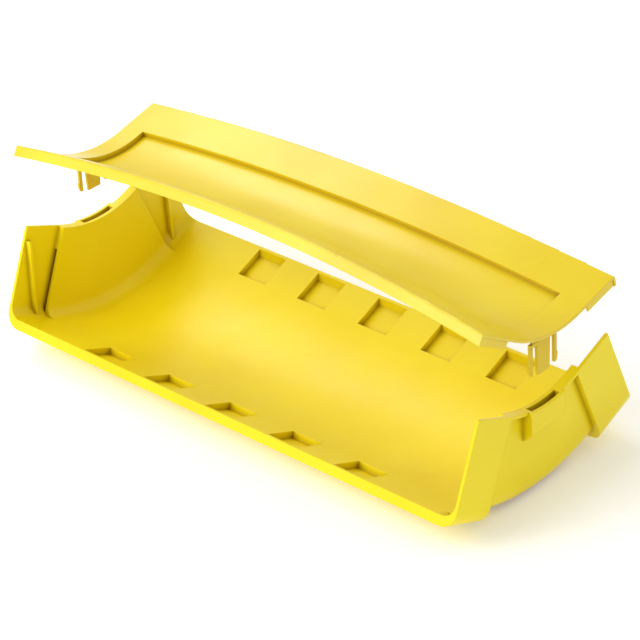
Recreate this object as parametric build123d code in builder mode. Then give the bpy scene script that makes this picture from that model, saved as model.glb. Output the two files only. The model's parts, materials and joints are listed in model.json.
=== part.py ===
"""Wide cable raceway bend: a 45 degree inside vertical trough and its lift-off clip-on cover.

+X runs across the channel, +Y along it and +Z up. The bend axis is parallel to X, above the
middle of the floor, and the underside of the floor touches z = 0 under that axis. The cover
is drawn seated on the wall tops, then written in its raised place, as when it is taken off.
"""

import os
from math import cos, radians, sin, sqrt

from build123d import *

# ---- driving dimensions, millimetres and degrees ----
WIDTH = 610.0          # inside the side walls, nominal 24 in
HEIGHT = 102.0         # floor to wall top, nominal 4 in
WALL = 3.5             # moulded wall and floor
TOP_RADIUS = 132.0     # bend radius of the wall tops
BEND = 45.0            # angle between the two sockets
SOCKET = 54.0          # straight length of each socket
FLARE = 7.5            # how far the sockets stand outside the channel
CORNER = 18.0          # outside radius between floor and wall

SHOULDER = 6.0         # stop at the root of each socket
GROOVE_DEPTH = 4.0     # slit in that stop, behind the wall's edge
GROOVE_HEIGHT = 76.0

RIB = 4.0              # slanted guide rib inside each left socket wall
RIB_RISE = 6.5
RIB_TOP_HEIGHT = 86.0
RIB_TOP_REACH = 48.5
RIB_FOOT_REACH = 16.0

POCKETS = 5            # recesses in each socket floor
POCKET_PITCH = 89.0
POCKET_WIDTH = 40.0
POCKET_START = 11.0
POCKET_END = 50.5
POCKET_RAMP = 5.0
CORNER_POCKET = 13.0   # small wedge recess beside the right wall of each socket
CORNER_POCKET_X = 306.0
CORNER_POCKET_DEPTH = 6.0
CORNER_RISE = 4.0      # height over which it cuts the rounded floor corner

FLANGE = 3.5           # thickness of the outward rim between the sockets
BOSS_OUT = 11.5        # latch housing, proud of the wall
BOSS_HALF = 26.5
BOSS_DROP = 33.0
BOSS_TAPER = 10.0
SLOT_WIDTH = 7.0
SLOT_HALF = 22.0
SLOT_INSET = 1.0       # wall face to slot
CATCH_DROP = 26.0      # ledge that the barbs hook under
CATCH_HALF = 24.5

SHEET = 3.0            # cover thickness
SEAT_GAP = 0.3         # cover to wall top when seated
SIDE_GAP = 0.5         # cover skirt to socket wall
CROWN = 22.0           # rise of the cover at the middle of its width
FIELD_SINK = 6.0       # panel inside the raised border
FIELD_INSET = 27.0
FIELD_REACH = 9.0      # how far the panel runs into each socket
LIP_DROP = 12.0
LIP_ROUND = 2.2        # rounding along the top of each end lip
SKIRT = 2.0            # side skirt thickness, set in under the edge of the sheet
SKIRT_DROP = 11.0

TAB = 3.0              # latch tab thickness
ROOT_HALF = 20.5
ROOT_DROP = 1.6         # wall top to the top of the tab
ROOT_HEIGHT = 4.0
TONGUE_TOP = 10.5
TONGUE_TIP = 9.0
TONGUE_LENGTH = 38.0
FINGER_IN = 16.5
FINGER_OUT = 20.5
FINGER_LENGTH = 37.0
BARB_OUT = 21.7
BARB_DROP = 27.0
BARB_LEAD = 1.0        # slope above and below the barb
BARB_HEIGHT = 3.0
FINGER_NOSE = 1.5
FLEX_GAP = 0.3         # finger to tab root

LIFT = 75.5            # raised place of the cover above its seat
TIP = 8.5              # near edge of the raised cover tipped up

OVERLAP = 1.0          # how far joined pieces run into each other and cuts run past a face

# ---- derived ----
HALF = WIDTH / 2
WALL_OUT = HALF + WALL
SOCKET_IN = HALF + FLARE
SOCKET_OUT = SOCKET_IN + WALL
FLOOR_RADIUS = TOP_RADIUS + HEIGHT
BEND_Z = FLOOR_RADIUS + WALL
TOP_Z = BEND_Z - TOP_RADIUS
SIN = sin(radians(BEND / 2))
COS = cos(radians(BEND / 2))
BEND_AXIS = Axis((0, 0, BEND_Z), (1, 0, 0))

COVER_HALF = SOCKET_OUT + SIDE_GAP + SHEET
COVER_TOP = TOP_RADIUS - SEAT_GAP - SHEET
CROWN_RADIUS = (COVER_HALF**2 + CROWN**2) / (2 * CROWN)
FIELD_HALF = COVER_HALF - FIELD_INSET
SKIRT_START = FIELD_REACH + SHEET
COVER_END = SOCKET + SIDE_GAP

SLOT_X = WALL_OUT + SLOT_INSET + SLOT_WIDTH / 2
BOSS_X = WALL_OUT + BOSS_OUT

NEAR = -1
FAR = 1
ENDS = (NEAR, FAR)


def end_plane(end, reach=0.0):
    """Plane across one socket: local y is minus the distance from the bend axis."""
    along = Vector(0, end * COS, SIN)
    origin = Vector(0, 0, BEND_Z) + along * reach
    return Plane(origin=origin, x_dir=(-end, 0, 0), z_dir=along)


def side_plane(end, x):
    """Plane along one socket: local x runs out of the socket, local y away from the bend axis."""
    return Plane(origin=(x, 0, BEND_Z), x_dir=(0, end * COS, SIN), z_dir=(-end, 0, 0))


def channel_section(plane, half_width, low, high, corner):
    """Channel section between two distances from the bend axis, its bottom corners rounded."""
    with BuildSketch(plane) as section:
        with Locations((0, -(low + high) / 2)):
            Rectangle(2 * half_width, low - high)
        fillet(section.vertices().group_by(Axis.Y)[0], corner)
    return section.sketch


def crown_rise(x):
    """Height of the crowned cover above its side edges."""
    return sqrt(CROWN_RADIUS**2 - x**2) - sqrt(CROWN_RADIUS**2 - COVER_HALF**2)


def crown_section(plane, half_width, top, bottom):
    """Crowned strip across the cover, between two distances from the bend axis at its edges."""
    edge = crown_rise(half_width)
    with BuildSketch(plane) as section:
        with BuildLine():
            upper = ThreePointArc(
                (-half_width, edge - top), (0, CROWN - top), (half_width, edge - top)
            )
            lower = ThreePointArc(
                (-half_width, edge - bottom), (0, CROWN - bottom), (half_width, edge - bottom)
            )
            Line(upper @ 0, lower @ 0)
            Line(upper @ 1, lower @ 1)
        make_face()
    return section.sketch


def panel_section(plane):
    """Cover section through the sunk panel: borders, joggles and panel."""
    sunk = COVER_TOP + FIELD_SINK
    with BuildSketch() as section:
        add(crown_section(Plane.XY, COVER_HALF, COVER_TOP, COVER_TOP + SHEET))
        add(crown_section(Plane.XY, FIELD_HALF, COVER_TOP, sunk + SHEET))
        add(crown_section(Plane.XY, FIELD_HALF - SHEET, COVER_TOP - OVERLAP, sunk), mode=Mode.SUBTRACT)
    return plane * section.sketch


def border_section(plane, half_width, drop, skirt_drop):
    """Cover section through an end border, thickened in the middle or closed by side skirts."""
    with BuildSketch() as section:
        add(crown_section(Plane.XY, COVER_HALF, COVER_TOP, COVER_TOP + SHEET))
        add(crown_section(Plane.XY, half_width, COVER_TOP, COVER_TOP + drop))
        if skirt_drop:
            for side in (-1, 1):
                middle = SOCKET_OUT + SIDE_GAP + SKIRT / 2
                with Locations((side * middle, -COVER_TOP - (skirt_drop + OVERLAP) / 2)):
                    Rectangle(SKIRT, skirt_drop - OVERLAP)
    return plane * section.sketch


def raised(part, tip=0.0):
    """Seated piece moved to its raised place, tipped about the line of the latches."""
    tipped = part.rotate(Axis((0, 0, TOP_Z), (1, 0, 0)), -tip)
    return tipped.translate((0, 0, LIFT))


# ---- trough ----
with BuildPart() as trough:
    revolve(
        channel_section(end_plane(NEAR), WALL_OUT, FLOOR_RADIUS + WALL, TOP_RADIUS, CORNER),
        BEND_AXIS,
        BEND,
    )
    for end in ENDS:
        low = FLOOR_RADIUS + WALL + FLARE
        extrude(channel_section(end_plane(end), SOCKET_OUT, low, TOP_RADIUS, CORNER), SOCKET)

    # outward rims along the wall tops between the sockets
    with BuildSketch(end_plane(NEAR)) as rims:
        for side in (-1, 1):
            middle = WALL_OUT + (FLARE - OVERLAP) / 2
            with Locations((side * middle, -TOP_RADIUS - FLANGE / 2)):
                Rectangle(FLARE + OVERLAP, FLANGE)
    revolve(rims.sketch, BEND_AXIS, BEND)

    # latch housings, their tops following the wall tops
    for side in (-1, 1):
        start = WALL_OUT - OVERLAP
        with BuildSketch(Plane.YZ.offset(side * start)) as housing:
            with Locations((0, TOP_Z + (BOSS_TAPER - BOSS_DROP) / 2)):
                Rectangle(2 * BOSS_HALF, BOSS_DROP + BOSS_TAPER)
            with Locations((0, BEND_Z)):
                Circle(TOP_RADIUS, mode=Mode.SUBTRACT)
        extrude(housing.sketch, side * (BOSS_X - start))
    taper = trough.edges().filter_by(Axis.Y).filter_by(
        lambda edge: abs(abs(edge.center().X) - BOSS_X) < 0.01
    )
    chamfer(taper.group_by(Axis.Z)[0], BOSS_TAPER)

    # channel way, then the wider sockets up to their shoulders
    inside = CORNER - WALL
    revolve(
        channel_section(end_plane(NEAR), HALF, FLOOR_RADIUS, TOP_RADIUS - OVERLAP, inside),
        BEND_AXIS,
        BEND,
        mode=Mode.SUBTRACT,
    )
    for end in ENDS:
        extrude(
            channel_section(end_plane(end), HALF, FLOOR_RADIUS, TOP_RADIUS - OVERLAP, inside),
            SHOULDER,
            mode=Mode.SUBTRACT,
        )
        extrude(
            channel_section(
                end_plane(end, SHOULDER), SOCKET_IN, FLOOR_RADIUS, TOP_RADIUS - OVERLAP, inside
            ),
            SOCKET,
            mode=Mode.SUBTRACT,
        )

    # slits in the shoulders, behind the edges of the channel walls
    for end in ENDS:
        with BuildSketch(end_plane(end, SHOULDER - GROOVE_DEPTH)) as slits:
            for side in (-1, 1):
                groove = SOCKET_IN - WALL_OUT
                with Locations((side * (WALL_OUT + groove / 2), GROOVE_HEIGHT / 2 - FLOOR_RADIUS)):
                    Rectangle(groove, GROOVE_HEIGHT)
        extrude(slits.sketch, GROOVE_DEPTH + OVERLAP, mode=Mode.SUBTRACT)

    # slanted guide ribs on the left socket walls
    for end in ENDS:
        depth = RIB_RISE + OVERLAP
        with BuildSketch(side_plane(end, depth / 2 - SOCKET_IN - OVERLAP)) as rib:
            with BuildLine():
                Polyline(
                    (RIB_TOP_REACH, FLOOR_RADIUS - RIB_TOP_HEIGHT),
                    (RIB_TOP_REACH + RIB, FLOOR_RADIUS - RIB_TOP_HEIGHT),
                    (RIB_FOOT_REACH + RIB, FLOOR_RADIUS + OVERLAP),
                    (RIB_FOOT_REACH, FLOOR_RADIUS + OVERLAP),
                    close=True,
                )
            make_face()
        extrude(rib.sketch, depth / 2, both=True)

    # pockets in the socket floors, ramped on the rim side
    pocket_xs = [(number - (POCKETS - 1) / 2) * POCKET_PITCH for number in range(POCKETS)]
    for end in ENDS:
        for x in pocket_xs:
            with BuildSketch(side_plane(end, x)) as pocket:
                with BuildLine():
                    Polyline(
                        (POCKET_START, FLOOR_RADIUS - OVERLAP),
                        (POCKET_END, FLOOR_RADIUS - OVERLAP),
                        (POCKET_END, FLOOR_RADIUS),
                        (POCKET_END - POCKET_RAMP, FLOOR_RADIUS + FLARE),
                        (POCKET_START, FLOOR_RADIUS + FLARE),
                        close=True,
                    )
                make_face()
            extrude(pocket.sketch, POCKET_WIDTH / 2, both=True, mode=Mode.SUBTRACT)
        with BuildSketch(end_plane(end, POCKET_END - CORNER_POCKET)) as recess:
            with BuildLine():
                Polyline(
                    (-end * (CORNER_POCKET_X - CORNER_POCKET), -FLOOR_RADIUS),
                    (-end * (CORNER_POCKET_X - CORNER_POCKET), -FLOOR_RADIUS + CORNER_RISE),
                    (-end * CORNER_POCKET_X, -FLOOR_RADIUS + CORNER_RISE),
                    (-end * CORNER_POCKET_X, -FLOOR_RADIUS - CORNER_POCKET_DEPTH),
                    close=True,
                )
            make_face()
        extrude(recess.sketch, CORNER_POCKET, mode=Mode.SUBTRACT)

    # latch slots, undercut below the catch ledges
    for side in (-1, 1):
        with BuildSketch(Plane.XY.offset(TOP_Z + BOSS_TAPER)) as slot:
            with Locations((side * SLOT_X, 0)):
                Rectangle(SLOT_WIDTH, 2 * SLOT_HALF)
        extrude(slot.sketch, -BOSS_TAPER - BOSS_DROP - OVERLAP, mode=Mode.SUBTRACT)
        with BuildSketch(Plane.XY.offset(TOP_Z - CATCH_DROP)) as undercut:
            with Locations((side * SLOT_X, 0)):
                Rectangle(SLOT_WIDTH, 2 * CATCH_HALF)
        extrude(undercut.sketch, CATCH_DROP - BOSS_DROP - OVERLAP, mode=Mode.SUBTRACT)

# ---- cover ----
with BuildPart() as cover:
    revolve(panel_section(end_plane(NEAR)), BEND_AXIS, BEND)
    for end in ENDS:
        extrude(panel_section(end_plane(end)), FIELD_REACH)
        web = border_section(end_plane(end, FIELD_REACH), FIELD_HALF, FIELD_SINK + SHEET, 0)
        extrude(web, SHEET)
        border = border_section(end_plane(end, SKIRT_START), COVER_HALF, SHEET, SKIRT_DROP)
        extrude(border, COVER_END - SKIRT_START)
        lip = border_section(end_plane(end, COVER_END), COVER_HALF, LIP_DROP, SKIRT_DROP)
        extrude(lip, SHEET)
    long_arcs = cover.edges().filter_by(GeomType.CIRCLE).group_by(SortBy.LENGTH)[-1]
    fillet(long_arcs.group_by(Axis.Z)[-1], LIP_ROUND)


def latch_tab(side):
    """Tab root and middle tongue that hang in one latch slot."""
    top = TOP_Z - ROOT_DROP
    with BuildPart() as tab:
        with BuildSketch(Plane.YZ.offset(side * SLOT_X)):
            with Locations((0, top - ROOT_HEIGHT / 2)):
                Rectangle(2 * ROOT_HALF, ROOT_HEIGHT)
            with BuildLine():
                Polyline(
                    (-TONGUE_TOP, top - OVERLAP),
                    (TONGUE_TOP, top - OVERLAP),
                    (TONGUE_TIP, top - TONGUE_LENGTH),
                    (-TONGUE_TIP, top - TONGUE_LENGTH),
                    close=True,
                )
            make_face()
        extrude(amount=TAB / 2, both=True)
    return tab.part


def snap_finger(side, end):
    """Springy finger beside the tongue, with a barb that hooks under the slot's ledge."""
    root = TOP_Z - ROOT_DROP - ROOT_HEIGHT - FLEX_GAP
    tip = TOP_Z - FINGER_LENGTH
    barb = TOP_Z - BARB_DROP
    with BuildPart() as finger:
        with BuildSketch(Plane.YZ.offset(side * SLOT_X)):
            with BuildLine():
                Polyline(
                    (end * FINGER_IN, root),
                    (end * FINGER_OUT, root),
                    (end * FINGER_OUT, barb + BARB_LEAD),
                    (end * BARB_OUT, barb),
                    (end * BARB_OUT, barb - BARB_HEIGHT),
                    (end * FINGER_OUT, tip + BARB_LEAD),
                    (end * (FINGER_OUT - FINGER_NOSE), tip),
                    (end * FINGER_IN, tip),
                    close=True,
                )
            make_face()
        extrude(amount=TAB / 2, both=True)
    return finger.part


os.makedirs("parts", exist_ok=True)

trough.part.label = "trough"
export_step(trough.part, "parts/trough.step")

raised_cover = raised(cover.part, TIP)
raised_cover.label = "cover"
export_step(raised_cover, "parts/cover.step")

for side, side_name in ((-1, "left"), (1, "right")):
    tab_piece = raised(latch_tab(side))
    tab_piece.label = f"latch_tab_{side_name}"
    export_step(tab_piece, f"parts/{tab_piece.label}.step")
    for end, end_name in ((NEAR, "front"), (FAR, "rear")):
        finger_piece = raised(snap_finger(side, end))
        finger_piece.label = f"snap_finger_{side_name}_{end_name}"
        export_step(finger_piece, f"parts/{finger_piece.label}.step")
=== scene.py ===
"""Visual model of a wide cable raceway bend: moulded trough, lift-off cover and its snap latches.

Lengths are metres in the row frame: +X across the channel, +Y along the run, +Z up.
"""

from __future__ import annotations

import json
import logging
from dataclasses import dataclass, field
from enum import Enum
from math import cos, radians, sin

import bmesh
import bpy
from mathutils import Matrix, Vector

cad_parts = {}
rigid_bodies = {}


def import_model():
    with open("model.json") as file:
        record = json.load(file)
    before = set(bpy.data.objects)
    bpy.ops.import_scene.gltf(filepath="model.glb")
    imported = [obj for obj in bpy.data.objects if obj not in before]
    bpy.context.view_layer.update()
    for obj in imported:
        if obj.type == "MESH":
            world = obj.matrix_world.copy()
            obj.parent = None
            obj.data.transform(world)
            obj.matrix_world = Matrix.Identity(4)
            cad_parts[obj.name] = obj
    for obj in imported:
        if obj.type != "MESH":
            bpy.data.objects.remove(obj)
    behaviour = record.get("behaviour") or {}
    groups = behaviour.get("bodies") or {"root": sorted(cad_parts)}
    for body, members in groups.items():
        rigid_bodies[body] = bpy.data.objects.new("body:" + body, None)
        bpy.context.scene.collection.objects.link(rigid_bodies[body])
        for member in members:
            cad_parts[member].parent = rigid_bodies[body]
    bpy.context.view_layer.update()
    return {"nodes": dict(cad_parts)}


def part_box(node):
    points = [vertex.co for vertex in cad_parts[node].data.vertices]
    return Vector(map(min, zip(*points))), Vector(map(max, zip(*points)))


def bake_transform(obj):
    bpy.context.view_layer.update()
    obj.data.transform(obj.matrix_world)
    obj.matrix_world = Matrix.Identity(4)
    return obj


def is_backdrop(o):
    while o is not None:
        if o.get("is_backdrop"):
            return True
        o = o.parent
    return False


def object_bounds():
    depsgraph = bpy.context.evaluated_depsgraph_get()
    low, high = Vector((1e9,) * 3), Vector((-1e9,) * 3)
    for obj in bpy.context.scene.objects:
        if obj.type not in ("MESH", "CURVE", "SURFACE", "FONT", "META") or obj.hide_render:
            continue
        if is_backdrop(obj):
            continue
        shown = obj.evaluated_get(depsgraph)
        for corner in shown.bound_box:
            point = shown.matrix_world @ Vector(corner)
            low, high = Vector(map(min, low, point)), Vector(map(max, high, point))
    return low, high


LOG = logging.getLogger("raceway_bend")
MM = 0.001
WHITE = "#ffffff"
MIX_FACTOR, MIX_A, MIX_B = 0, 6, 7  # a colour mix node's inputs
MIX_RESULT = 2  # its colour output


def linear(hex_colour: str) -> tuple[float, float, float, float]:
    """Turn an sRGB hex colour into linear RGBA.

    Args:
        hex_colour: Colour such as "#f2c11d".

    Returns:
        Linear red, green, blue and an alpha of one.
    """
    channels = [int(hex_colour[i : i + 2], 16) / 255 for i in (1, 3, 5)]
    low = [c / 12.92 if c <= 0.04045 else ((c + 0.055) / 1.055) ** 2.4 for c in channels]
    return low[0], low[1], low[2], 1.0


def add_node(
    tree: bpy.types.NodeTree,
    kind: str,
    settings: dict[str, object] | None = None,
    links: dict[str, bpy.types.NodeSocket] | None = None,
) -> bpy.types.Node:
    """Add a shader node with its settings and incoming links.

    Args:
        tree: Node tree that gets the node.
        kind: Blender's node type name.
        settings: Values by property name, or by input name where the node has such an input.
        links: Output sockets by the name of the input that they feed.

    Returns:
        The new node.
    """
    node = tree.nodes.new(kind)
    for name, value in (settings or {}).items():
        if name in node.inputs:
            node.inputs[name].default_value = value
        else:
            setattr(node, name, value)
    for name, socket in (links or {}).items():
        tree.links.new(socket, node.inputs[name])
    return node


class Side(Enum):
    """The two sides of the channel, by the sign of X."""

    LEFT = -1
    RIGHT = 1


class Face(Enum):
    """How a moulded face was left by the tool."""

    POLISHED = "polished"
    TEXTURED = "textured"


ROUGHNESS_SPAN = {Face.POLISHED: 0.05, Face.TEXTURED: 0.08}
GRAIN_STRENGTH = {Face.POLISHED: 0.10, Face.TEXTURED: 0.22}


@dataclass(frozen=True)
class MouldedPlastic:
    """Injection-moulded ABS blend in signal yellow, satin from a stoned steel mould.

    To the eye it is an even, strongly coloured skin with a broad soft sheen at low angles,
    slightly paler where the melt ran thin and slightly deeper in hue where it is thick;
    painted shade deepens the colour in slots, pockets and tight corners.
    """

    name: str
    body_hex: str
    deep_hex: str
    pale_hex: str
    roughness: float
    face: Face
    seed: float
    ior: float = 1.53  # typical of ABS
    specular: float = 0.28  # matched to the object; a satin skin shows a weak mirror image
    flow_mm: float = 120.0  # cloudy colour drift along the melt flow
    patches_per_flow: float = 2.2  # roughness patches in one length of the colour drift
    ripple_mm: float = 22.0  # slow waviness of a large moulded face
    grain_mm: float = 1.1  # mould grain is about 0.3 mm; drawn coarser so that it shows
    edge_mm: float = 0.9  # radius that the mould leaves on an outside edge
    speck_mm: float = 3.0  # handling dust and scuffs
    painted_shade_reach_mm: float = 11.0  # reach of the painted shade in corners, matched to the object
    painted_shade_hex: str = "#a88600"  # painted shade tone of a fully enclosed corner, matched to the object
    painted_shade_range: tuple[float, float] = (0.25, 0.85)  # openness from full painted shade to none
    scuff_range: tuple[float, float] = (0.66, 0.80)  # noise from no scuff to a full one
    scuff_share: float = 0.22  # most of the pale tone that a scuff takes
    flow_stops: tuple[float, float, float] = (0.30, 0.50, 0.72)  # deep, body and pale tones

    def build(self) -> bpy.types.Material:
        """Make the Blender material.

        Returns:
            The material, with its colour, roughness and relief from nodes.
        """
        material = bpy.data.materials.new(self.name)
        material.use_nodes = True
        tree = material.node_tree
        tree.nodes.clear()
        place = add_node(tree, "ShaderNodeTexCoord").outputs["Object"]
        shifted = add_node(
            tree,
            "ShaderNodeVectorMath",
            {"operation": "ADD"},
            {"Vector": place},
        )
        shifted.inputs[1].default_value = (self.seed, self.seed * 0.7, self.seed * 1.3)
        place = shifted.outputs["Vector"]
        colour = self._colour(tree, place)
        roughness = self._roughness(tree, place)
        normal = self._relief(tree, place)
        shader = add_node(
            tree,
            "ShaderNodeBsdfPrincipled",
            {
                "IOR": self.ior,
                "Specular IOR Level": self.specular,
                "Subsurface Weight": 0.12,
                "Subsurface Scale": 2.5 * MM,
                "Subsurface Radius": (1.0, 0.75, 0.12),
                "Coat Weight": 0.06,
                "Coat Roughness": 0.28,
            },
            {"Base Color": colour, "Roughness": roughness, "Normal": normal},
        )
        add_node(tree, "ShaderNodeOutputMaterial", links={"Surface": shader.outputs["BSDF"]})
        return material

    def _colour(
        self, tree: bpy.types.NodeTree, place: bpy.types.NodeSocket
    ) -> bpy.types.NodeSocket:
        """Body colour with slow melt-flow drift, pale handling scuffs and painted shade in corners.

        Args:
            tree: Material's node tree.
            place: Position in metres.

        Returns:
            The colour output.
        """
        flow = add_node(
            tree,
            "ShaderNodeTexNoise",
            {"Scale": 1 / (self.flow_mm * MM), "Detail": 3.0, "Roughness": 0.45},
            {"Vector": place},
        )
        drift = add_node(tree, "ShaderNodeValToRGB", links={"Fac": flow.outputs["Fac"]})
        ramp = drift.color_ramp
        deep_at, body_at, pale_at = self.flow_stops
        ramp.elements[0].position, ramp.elements[0].color = deep_at, linear(self.deep_hex)
        ramp.elements[1].position, ramp.elements[1].color = pale_at, linear(self.pale_hex)
        middle = ramp.elements.new(body_at)
        middle.color = linear(self.body_hex)
        speck = add_node(
            tree,
            "ShaderNodeTexNoise",
            {"Scale": 1 / (self.speck_mm * MM), "Detail": 5.0, "Roughness": 0.7},
            {"Vector": place},
        )
        scuffs = add_node(
            tree,
            "ShaderNodeMapRange",
            {
                "From Min": self.scuff_range[0],
                "From Max": self.scuff_range[1],
                "To Min": 0.0,
                "To Max": self.scuff_share,
            },
            {"Value": speck.outputs["Fac"]},
        )
        mixed = add_node(tree, "ShaderNodeMix", {"data_type": "RGBA"})
        tree.links.new(scuffs.outputs["Result"], mixed.inputs[MIX_FACTOR])
        tree.links.new(drift.outputs["Color"], mixed.inputs[MIX_A])
        mixed.inputs[MIX_B].default_value = linear(self.pale_hex)
        return self._painted_corner_shade(tree, mixed.outputs[MIX_RESULT])

    def _painted_corner_shade(
        self, tree: bpy.types.NodeTree, colour: bpy.types.NodeSocket
    ) -> bpy.types.NodeSocket:
        """Deepen the colour inside slots, pockets and tight corners with painted shade.

        Args:
            tree: Material's node tree.
            colour: Colour of the open face.

        Returns:
            The colour output.
        """
        # painted shade: ambient occlusion mixes the colour towards a deep tone where a face is
        # enclosed
        openness = add_node(
            tree, "ShaderNodeAmbientOcclusion", {"samples": 8, "Distance": self.painted_shade_reach_mm * MM}
        )
        share = add_node(
            tree,
            "ShaderNodeMapRange",
            {
                "From Min": self.painted_shade_range[0],
                "From Max": self.painted_shade_range[1],
                "To Min": 0.0,
                "To Max": 1.0,
            },
            {"Value": openness.outputs["AO"]},
        )
        mixed = add_node(tree, "ShaderNodeMix", {"data_type": "RGBA"})
        tree.links.new(share.outputs["Result"], mixed.inputs[MIX_FACTOR])
        mixed.inputs[MIX_A].default_value = linear(self.painted_shade_hex)
        tree.links.new(colour, mixed.inputs[MIX_B])
        return mixed.outputs[MIX_RESULT]

    def _roughness(
        self, tree: bpy.types.NodeTree, place: bpy.types.NodeSocket
    ) -> bpy.types.NodeSocket:
        """Satin roughness that drifts a little over the face.

        Args:
            tree: Material's node tree.
            place: Position in metres.

        Returns:
            The roughness output.
        """
        patch = add_node(
            tree,
            "ShaderNodeTexNoise",
            {
                "Scale": self.patches_per_flow / (self.flow_mm * MM),
                "Detail": 4.0,
                "Roughness": 0.6,
            },
            {"Vector": place},
        )
        span = ROUGHNESS_SPAN[self.face]
        spread = add_node(
            tree,
            "ShaderNodeMapRange",
            {
                "From Min": 0.3,
                "From Max": 0.7,
                "To Min": self.roughness - span,
                "To Max": self.roughness + span,
            },
            {"Value": patch.outputs["Fac"]},
        )
        return spread.outputs["Result"]

    def _relief(
        self, tree: bpy.types.NodeTree, place: bpy.types.NodeSocket
    ) -> bpy.types.NodeSocket:
        """Rounded moulded edges, slow ripple of the face and fine mould grain.

        Args:
            tree: Material's node tree.
            place: Position in metres.

        Returns:
            The normal output.
        """
        edge = add_node(tree, "ShaderNodeBevel", {"samples": 6, "Radius": self.edge_mm * MM})
        ripple = add_node(
            tree,
            "ShaderNodeTexNoise",
            {"Scale": 1 / (self.ripple_mm * MM), "Detail": 1.5},
            {"Vector": place},
        )
        slow = add_node(
            tree,
            "ShaderNodeBump",
            {"Strength": 0.35, "Distance": 0.25 * MM},
            {"Height": ripple.outputs["Fac"], "Normal": edge.outputs["Normal"]},
        )
        grain = add_node(
            tree,
            "ShaderNodeTexNoise",
            {"Scale": 1 / (self.grain_mm * MM), "Detail": 3.0, "Roughness": 0.6},
            {"Vector": place},
        )
        fine = add_node(
            tree,
            "ShaderNodeBump",
            {"Strength": GRAIN_STRENGTH[self.face], "Distance": 0.06 * MM},
            {"Height": grain.outputs["Fac"], "Normal": slow.outputs["Normal"]},
        )
        return fine.outputs["Normal"]


TROUGH_PLASTIC = MouldedPlastic(
    name="injection_moulded_abs_trough",
    body_hex="#efda08",
    deep_hex="#ebd204",
    pale_hex="#f3df18",
    roughness=0.38,
    specular=0.25,
    face=Face.POLISHED,
    seed=0.0,
)
# partly painted shade: the cover is the trough's yellow plastic, with its tone set a little deeper
# to tone down its brightly lit faces
COVER_PLASTIC = MouldedPlastic(
    name="injection_moulded_abs_cover",
    body_hex="#e6cb0c",
    deep_hex="#e2c406",
    pale_hex="#ebd322",
    roughness=0.32,
    specular=0.42,
    face=Face.POLISHED,
    seed=3.1,
)
# painted shade: the latches are the cover's plastic, set deeper and more olive to stand in for the
# shade they sit in under the cover
SHADED_LATCH_PLASTIC = MouldedPlastic(
    name="injection_moulded_abs_latches_painted_shade",
    body_hex="#d9bb0c",
    deep_hex="#d0af06",
    pale_hex="#e1c71e",
    roughness=0.44,
    face=Face.TEXTURED,
    seed=7.7,
)


def dress(obj: bpy.types.Object, material: bpy.types.Material) -> None:
    """Give every material slot of a piece the same material.

    Args:
        obj: Piece to dress.
        material: Its material.
    """
    if not obj.material_slots:
        obj.data.materials.append(material)
    for slot in obj.material_slots:
        slot.material = material


@dataclass
class Trough:
    """Moulded trough with two sockets, straight from the CAD."""

    node: str = "trough"

    def dress(self, nodes: dict[str, bpy.types.Object]) -> None:
        """Give the trough its plastic."""
        dress(nodes[self.node], TROUGH_PLASTIC.build())
        LOG.info("dressed %s", self.node)


@dataclass
class Cover:
    """Crowned cover with its sunk panel, straight from the CAD."""

    node: str = "cover"

    def dress(self, nodes: dict[str, bpy.types.Object]) -> None:
        """Give the cover its plastic."""
        dress(nodes[self.node], COVER_PLASTIC.build())
        LOG.info("dressed %s", self.node)


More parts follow.
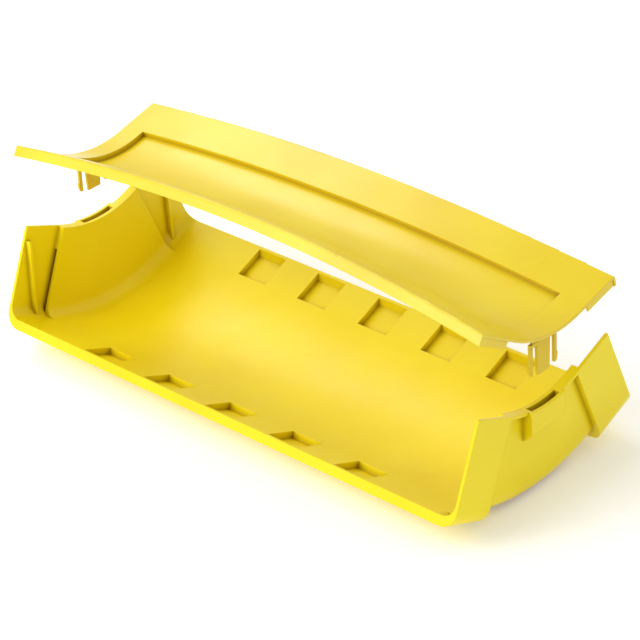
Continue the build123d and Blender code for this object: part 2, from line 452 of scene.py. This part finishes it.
@dataclass
class Latches:
    """Latch tabs and snap fingers, with the flexible neck that joins each tab to the cover."""

    prefixes: tuple[str, ...] = ("latch_tab", "snap_finger")
    neck_half: float = 17.0 * MM  # along the run
    neck_thick: float = 2.6 * MM
    neck_sink: float = 0.7 * MM  # how far the neck's ends run into the plastic
    columns: int = 18
    rows: int = 6
    ray_start: float = 50.0 * MM  # how far below the cover the search for its underside starts
    latch_body: str = "latch_tabs"
    cover_body: str = "cover"
    made: list[bpy.types.Object] = field(default_factory=list)

    def build(self, nodes: dict[str, bpy.types.Object]) -> None:
        """Build one neck a side, between the tab's top and the underside of the cover.

        Args:
            nodes: CAD nodes by name.
        """
        for side in Side:
            low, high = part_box(f"latch_tab_{side.name.lower()}")
            middle_x = (low.x + high.x) / 2
            bottom = high.z - self.neck_sink
            neck = self._neck(side, middle_x, bottom, nodes["cover"])
            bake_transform(neck)
            self.made.append(neck)
            LOG.info("built %s", neck.name)

    def _neck(
        self, side: Side, middle_x: float, bottom: float, cover: bpy.types.Object
    ) -> bpy.types.Object:
        """Thin web from one tab up to the cover's underside.

        Args:
            side: Side of the channel.
            middle_x: Middle of the tab's thickness.
            bottom: Height of the web's lower edge.
            cover: Cover node that the web meets.

        Returns:
            The web as an object.
        """
        tops = [
            self._underside(cover, middle_x, self._column_y(i)) for i in range(self.columns + 1)
        ]
        mesh = bmesh.new()
        grids = []
        for face_side in (-1, 1):
            x = middle_x + face_side * self.neck_thick / 2
            grid = []
            for i, top in enumerate(tops):
                y = self._column_y(i)
                column = [
                    mesh.verts.new((x, y, bottom + (top - bottom) * j / self.rows))
                    for j in range(self.rows + 1)
                ]
                grid.append(column)
            grids.append(grid)
        for grid, turned in zip(grids, (True, False)):
            for i in range(self.columns):
                for j in range(self.rows):
                    ring = [grid[i][j], grid[i + 1][j], grid[i + 1][j + 1], grid[i][j + 1]]
                    mesh.faces.new(ring[::-1] if turned else ring)
        self._close(mesh, grids)
        bmesh.ops.recalc_face_normals(mesh, faces=mesh.faces)
        data = bpy.data.meshes.new(f"latch_neck_{side.name.lower()}")
        mesh.to_mesh(data)
        mesh.free()
        neck = bpy.data.objects.new(data.name, data)
        bpy.context.scene.collection.objects.link(neck)
        return neck

    def _column_y(self, index: int) -> float:
        """Place of one column along the run."""
        return self.neck_half * (2 * index / self.columns - 1)

    def _underside(self, cover: bpy.types.Object, x: float, y: float) -> float:
        """Height just inside the sheet of the cover over one point.

        Args:
            cover: Cover node.
            x: Place across the channel.
            y: Place along the run.

        Returns:
            Height in metres.
        """
        low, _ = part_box("cover")
        hit, place, _, _ = cover.ray_cast(Vector((x, y, low.z - self.ray_start)), Vector((0, 0, 1)))
        if not hit:
            raise RuntimeError("no cover above the latch")
        return place.z + self.neck_sink

    def _close(self, mesh: bmesh.types.BMesh, grids: list[list[list[bmesh.types.BMVert]]]) -> None:
        """Join the rims of the web's two faces.

        Args:
            mesh: Mesh that holds both faces.
            grids: Vertices of each face by column and row.
        """
        first, second = grids
        for i in range(self.columns):
            for j in (0, self.rows):
                mesh.faces.new((first[i][j], first[i + 1][j], second[i + 1][j], second[i][j]))
        for i in (0, self.columns):
            for j in range(self.rows):
                mesh.faces.new((first[i][j], first[i][j + 1], second[i][j + 1], second[i][j]))

    def dress(self, nodes: dict[str, bpy.types.Object]) -> None:
        """Give the tabs, fingers and necks their plastic.

        Args:
            nodes: CAD nodes by name.
        """
        material = SHADED_LATCH_PLASTIC.build()
        for name, node in nodes.items():
            if name.startswith(self.prefixes):
                dress(node, material)
        for neck in self.made:
            dress(neck, material)
        LOG.info("dressed latches")


@dataclass(frozen=True)
class PaintedFloor:
    """Matt white painted board: the studio table, with a faint roller texture."""

    name: str = "matt_painted_board"
    hex_colour: str = "#fdfdfd"
    roller_mm: float = 6.0
    glow: float = 0.15  # a little light of its own, which keeps the board plain white

    def build(self) -> bpy.types.Material:
        """Make the Blender material.

        Returns:
            The material, white with a faint bump from the roller.
        """
        material = bpy.data.materials.new(self.name)
        material.use_nodes = True
        tree = material.node_tree
        tree.nodes.clear()
        place = add_node(tree, "ShaderNodeTexCoord").outputs["Object"]
        roller = add_node(
            tree,
            "ShaderNodeTexNoise",
            {"Scale": 1 / (self.roller_mm * MM), "Detail": 2.0},
            {"Vector": place},
        )
        bump = add_node(
            tree,
            "ShaderNodeBump",
            {"Strength": 0.05, "Distance": 0.1 * MM},
            {"Height": roller.outputs["Fac"]},
        )
        shader = add_node(
            tree,
            "ShaderNodeBsdfPrincipled",
            {
                "Base Color": linear(self.hex_colour),
                "Roughness": 0.9,
                "Specular IOR Level": 0.1,
                "Emission Color": linear(self.hex_colour),
                "Emission Strength": self.glow,
            },
            {"Normal": bump.outputs["Normal"]},
        )
        add_node(tree, "ShaderNodeOutputMaterial", links={"Surface": shader.outputs["BSDF"]})
        return material


@dataclass
class Studio:
    """Pale floor, soft lights and the camera."""

    floor_half: float = 9.0
    floor_gap: float = 0.2 * MM  # keeps the floor clear of the underside
    room_strength: float = 0.72
    azimuth_deg: float = -43.7704
    elevation_deg: float = 30.7708
    roll_deg: float = -3.2636
    place: tuple[float, float, float] = (1.7325, -1.7881, 1.5661)
    lens_mm: float = 156.15
    clip: tuple[float, float] = (0.05, 60.0)

    def build(self) -> None:
        """Make the floor, the lights and the camera."""
        self._floor()
        self._world()
        self._light("key", place=(-0.7, -2.1, 2.6), size=1.4, power=31.0, colour=WHITE)
        self._light("low_key", place=(-1.5, -2.5, 1.7), size=1.4, power=27.0, colour=WHITE)
        self._light("softbox", place=(-2.1, 1.4, 2.2), size=1.3, power=20.0, colour=WHITE)
        self._light("left", place=(-2.6, 0.2, 2.0), size=0.9, power=5.0, colour=WHITE)
        self._camera()
        LOG.info("studio ready")

    def _floor(self) -> None:
        """Lay the floor just under the object."""
        low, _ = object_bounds()
        bpy.ops.mesh.primitive_plane_add(
            size=2 * self.floor_half, location=(0, 0, low.z - self.floor_gap)
        )
        floor = bpy.context.object
        floor.name = "studio_floor"
        dress(floor, PaintedFloor().build())
        floor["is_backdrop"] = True

    def _world(self) -> None:
        """Even white room light."""
        world = bpy.data.worlds.new("studio_room")
        world.use_nodes = True
        shade = world.node_tree.nodes["Background"]
        shade.inputs["Color"].default_value = linear(WHITE)
        shade.inputs["Strength"].default_value = self.room_strength
        bpy.context.scene.world = world

    def _light(
        self,
        name: str,
        place: tuple[float, float, float],
        size: float,
        power: float,
        colour: str,
    ) -> None:
        """Hang one soft square light, aimed at the object.

        Args:
            name: Light's name.
            place: Its place.
            size: Side of the square.
            power: Power in watts.
            colour: sRGB hex colour.
        """
        data = bpy.data.lights.new(name, "AREA")
        data.size = size
        data.energy = power
        data.color = linear(colour)[:3]
        light = bpy.data.objects.new(name, data)
        light.location = place
        low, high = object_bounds()
        aim = (low + high) / 2 - Vector(place)
        light.rotation_euler = aim.to_track_quat("-Z", "Y").to_euler()
        bpy.context.scene.collection.objects.link(light)

    def _camera(self) -> None:
        """Set the camera by place, heading, elevation and roll."""
        turn, rise, roll = (
            radians(v) for v in (self.azimuth_deg, self.elevation_deg, self.roll_deg)
        )
        ahead = Vector((sin(turn) * cos(rise), cos(turn) * cos(rise), -sin(rise)))
        right = Vector((cos(turn), -sin(turn), 0.0))
        up = right.cross(ahead)
        across = right * cos(roll) + up * sin(roll)
        above = up * cos(roll) - right * sin(roll)
        rows = Matrix((across, above, -ahead)).transposed().to_4x4()
        data = bpy.data.cameras.new("camera")
        data.lens = self.lens_mm
        data.clip_start, data.clip_end = self.clip
        camera = bpy.data.objects.new("camera", data)
        camera.matrix_world = Matrix.Translation(Vector(self.place)) @ rows
        bpy.context.scene.collection.objects.link(camera)
        bpy.context.scene.camera = camera


def clear_startup() -> None:
    """Remove the startup objects."""
    for obj in list(bpy.data.objects):
        bpy.data.objects.remove(obj)


def main() -> None:
    """Load the frame, build and dress each piece, and set the studio."""
    logging.basicConfig(level=logging.INFO, format="%(name)s: %(message)s")
    clear_startup()
    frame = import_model()
    nodes = frame["nodes"]
    trough, cover, latches = Trough(), Cover(), Latches()
    latches.build(nodes)
    trough.dress(nodes)
    cover.dress(nodes)
    latches.dress(nodes)
    Studio().build()
    bpy.context.scene.view_settings.view_transform = "Standard"


if __name__ == "__main__":
    main()
